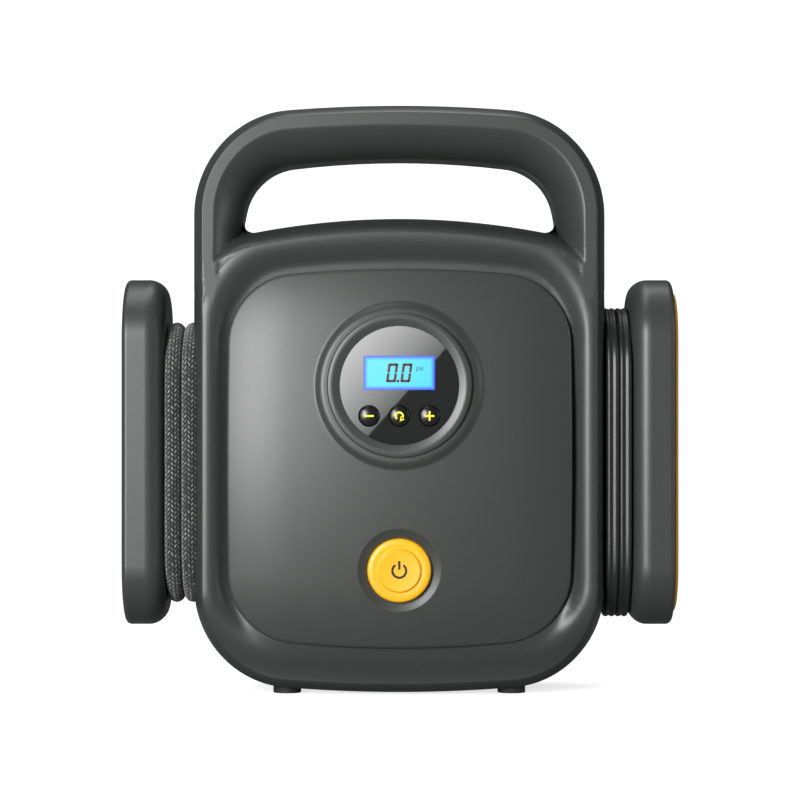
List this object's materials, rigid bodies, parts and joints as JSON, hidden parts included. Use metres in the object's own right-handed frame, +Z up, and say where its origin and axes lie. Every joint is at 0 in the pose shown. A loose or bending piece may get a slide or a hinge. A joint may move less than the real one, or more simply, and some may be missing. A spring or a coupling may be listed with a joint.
{
  "type": "portable tyre inflator",
  "caption": "Portable 12 V tyre inflator with a carry handle, round read-out, power button, wound air hose and wound power lead on side flanges.",
  "frame": {"origin": "on the ground under the middle of the housing", "axes": "+Z up, +X to the right seen from the face, +Y towards the back"},
  "size_m": [0.2392, 0.0854, 0.2528],
  "materials": {
    "charcoal_abs": "fine moulded texture, matte",
    "satin_black_abs": "satin",
    "lens_black": "polished",
    "lcd_blue": "lit display",
    "key_black": "gloss",
    "yellow_abs": "satin gloss",
    "green_board": "solder mask",
    "black_nylon": "matte",
    "rubber_black": "matte",
    "hose_braid": "woven polyester braid with pale flecks",
    "steel_screw": "zinc plated",
    "motor_steel": "drawn",
    "brass": "turned",
    "nickel": "nickel plated",
    "cast_aluminium": "as cast",
    "white_acetal": "moulded"
  },
  "bodies": {
    "inflator": {"adapter_holder": "satin_black_abs", "ball_needle": "black_nylon", "button_switches": "black_nylon", "chuck_body": "brass", "cone_adapter": "black_nylon", "control_board": "green_board", "cord_coil": "rubber_black", "cord_gland": "satin_black_abs", "cord_tail": "rubber_black", "cylinder": "cast_aluminium", "cylinder_head": "cast_aluminium", "display_lens": "lens_black", "front_housing": "charcoal_abs", "front_panel": "charcoal_abs", "gauge_bezel": "satin_black_abs", "gear_axle": "steel_screw", "gearbox_frame": "cast_aluminium", "head_gasket": "rubber_black", "head_screws": "steel_screw", "hose_coil": "hose_braid", "hose_elbow": "brass", "hose_ferrule": "brass", "hose_tail": "hose_braid", "housing_screws": "steel_screw", "lcd_module": "lcd_blue", "left_spool": "charcoal_abs", "left_spool_cover": "charcoal_abs", "lid_hinge_pins": "steel_screw", "main_housing": "charcoal_abs", "motor_can": "motor_steel", "motor_end_cap": "satin_black_abs", "outlet_tube": "rubber_black", "plug_body": "satin_black_abs", "plug_boot": "rubber_black", "plug_nose_ring": "nickel", "pressure_sensor": "black_nylon", "pump_mounts": "rubber_black", "pump_screws": "steel_screw", "right_spool": "charcoal_abs", "rubber_feet": "rubber_black", "sensor_tube": "rubber_black", "valve_adapter": "brass", "valve_plate": "motor_steel"},
    "power_key": {"power_button": "yellow_abs"},
    "minus_key": {"button_minus": "key_black"},
    "mode_key": {"button_mode": "key_black"},
    "plus_key": {"button_plus": "key_black"},
    "lid": {"storage_lid": "yellow_abs"},
    "rotor": {"motor_shaft": "steel_screw", "armature": "steel_screw", "cooling_fan": "satin_black_abs", "pinion": "brass"},
    "crankshaft": {"drive_gear": "white_acetal", "crank": "steel_screw"},
    "piston": {"piston_rod": "cast_aluminium", "piston_seal": "rubber_black"},
    "collar": {"chuck_collar": "brass"},
    "plug_pin": {"plug_tip": "nickel"},
    "contact_left": {"plug_contact_left": "nickel"},
    "contact_right": {"plug_contact_right": "nickel"}
  },
  "joints": [
    {"name": "power_press", "type": "slide", "parent": "inflator", "child": "power_key", "axis": [0, 1, 0], "range_m": [0, 0.0015], "stiffness_N_per_m": 400, "springref_m": -0.0008},
    {"name": "minus_press", "type": "slide", "parent": "inflator", "child": "minus_key", "axis": [0, 1, 0], "range_m": [0, 0.0005], "stiffness_N_per_m": 500, "springref_m": -0.0004},
    {"name": "mode_press", "type": "slide", "parent": "inflator", "child": "mode_key", "axis": [0, 1, 0], "range_m": [0, 0.0005], "stiffness_N_per_m": 500, "springref_m": -0.0004},
    {"name": "plus_press", "type": "slide", "parent": "inflator", "child": "plus_key", "axis": [0, 1, 0], "range_m": [0, 0.0005], "stiffness_N_per_m": 500, "springref_m": -0.0004},
    {"name": "lid_hinge", "type": "hinge", "parent": "inflator", "child": "lid", "pos_m": [0.1194, 0.0301, 0.1038], "axis": [0, 0, 1], "range_deg": [0, 110]},
    {"name": "motor_spin", "type": "hinge", "parent": "inflator", "child": "rotor", "pos_m": [0.04, 0.009, 0.062], "axis": [1, 0, 0], "continuous": true},
    {"name": "gear_spin", "type": "hinge", "parent": "inflator", "child": "crankshaft", "pos_m": [0, 0.009, 0.09215], "axis": [1, 0, 0], "continuous": true},
    {"name": "piston_slide", "type": "slide", "parent": "inflator", "child": "piston", "axis": [0, 0, 1], "range_m": [0, 0.014]},
    {"name": "collar_spin", "type": "hinge", "parent": "inflator", "child": "collar", "pos_m": [-0.109, 0.029, 0.157], "axis": [0, 0, 1], "continuous": true},
    {"name": "tip_press", "type": "slide", "parent": "inflator", "child": "plug_pin", "axis": [0, 0, -1], "range_m": [0, 0.004], "stiffness_N_per_m": 600, "springref_m": -0.001},
    {"name": "contact_left_press", "type": "slide", "parent": "inflator", "child": "contact_left", "axis": [1, 0, 0], "range_m": [0, 0.001], "stiffness_N_per_m": 600, "springref_m": -0.0005},
    {"name": "contact_right_press", "type": "slide", "parent": "inflator", "child": "contact_right", "axis": [-1, 0, 0], "range_m": [0, 0.001], "stiffness_N_per_m": 600, "springref_m": -0.0005}
  ],
  "couplings": [
    {"joint": "motor_spin", "follows": "gear_spin", "ratio": -4}
  ]
}
